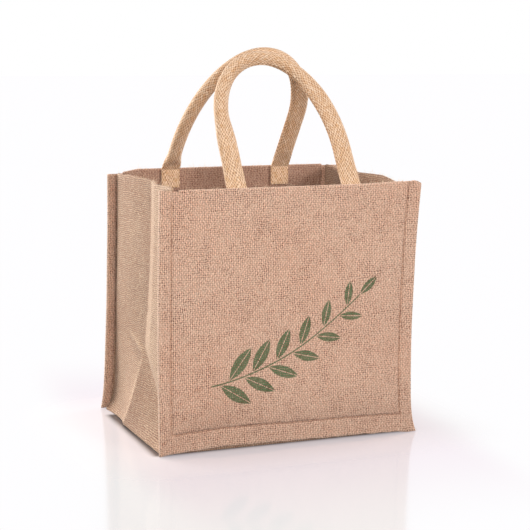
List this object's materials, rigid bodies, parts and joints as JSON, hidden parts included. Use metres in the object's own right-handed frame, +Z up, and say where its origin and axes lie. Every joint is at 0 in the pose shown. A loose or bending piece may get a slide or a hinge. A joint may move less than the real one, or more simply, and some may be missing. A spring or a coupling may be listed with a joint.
{
  "type": "jute bottle bag",
  "caption": "Upright jute carrier bag with sewn bottle cells, outward-turned stitched seams, a creased side gusset and padded webbing handles that swing over the rim.",
  "frame": {"origin": "middle of the base, on the surface that the bag stands on", "axes": "+X along the front to the right, +Y from the front panel to the rear panel, +Z up"},
  "size_m": [0.2798, 0.2, 0.3918],
  "materials": {
    "panel_jute": "coarse plain-weave jute, warm pinkish tan",
    "gusset_jute": "coarse plain-weave jute, slightly yellower",
    "divider_jute": "coarse plain-weave jute, unprinted",
    "handle_webbing": "ribbed cotton webbing, golden cream",
    "handle_rope": "laid cotton rope, undyed"
  },
  "bodies": {
    "bag": {"front_panel": "panel_jute", "rear_panel": "panel_jute", "gusset_strip": "gusset_jute", "long_divider": "divider_jute", "front_left_divider": "divider_jute", "front_right_divider": "divider_jute", "rear_left_divider": "divider_jute", "rear_right_divider": "divider_jute", "front_handle_left_end": "handle_webbing", "front_handle_right_end": "handle_webbing", "rear_handle_left_end": "handle_webbing", "rear_handle_right_end": "handle_webbing"},
    "front_handle": {"front_handle_sleeve": "handle_webbing", "front_handle_core": "handle_rope"},
    "rear_handle": {"rear_handle_sleeve": "handle_webbing", "rear_handle_core": "handle_rope"}
  },
  "joints": [
    {"name": "front_handle_swing", "type": "hinge", "parent": "bag", "child": "front_handle", "pos_m": [0, -0.0984, 0.26], "axis": [1, 0, 0], "range_deg": [0, 203]},
    {"name": "rear_handle_swing", "type": "hinge", "parent": "bag", "child": "rear_handle", "pos_m": [0, 0.0984, 0.26], "axis": [-1, 0, 0], "range_deg": [0, 206]}
  ]
}
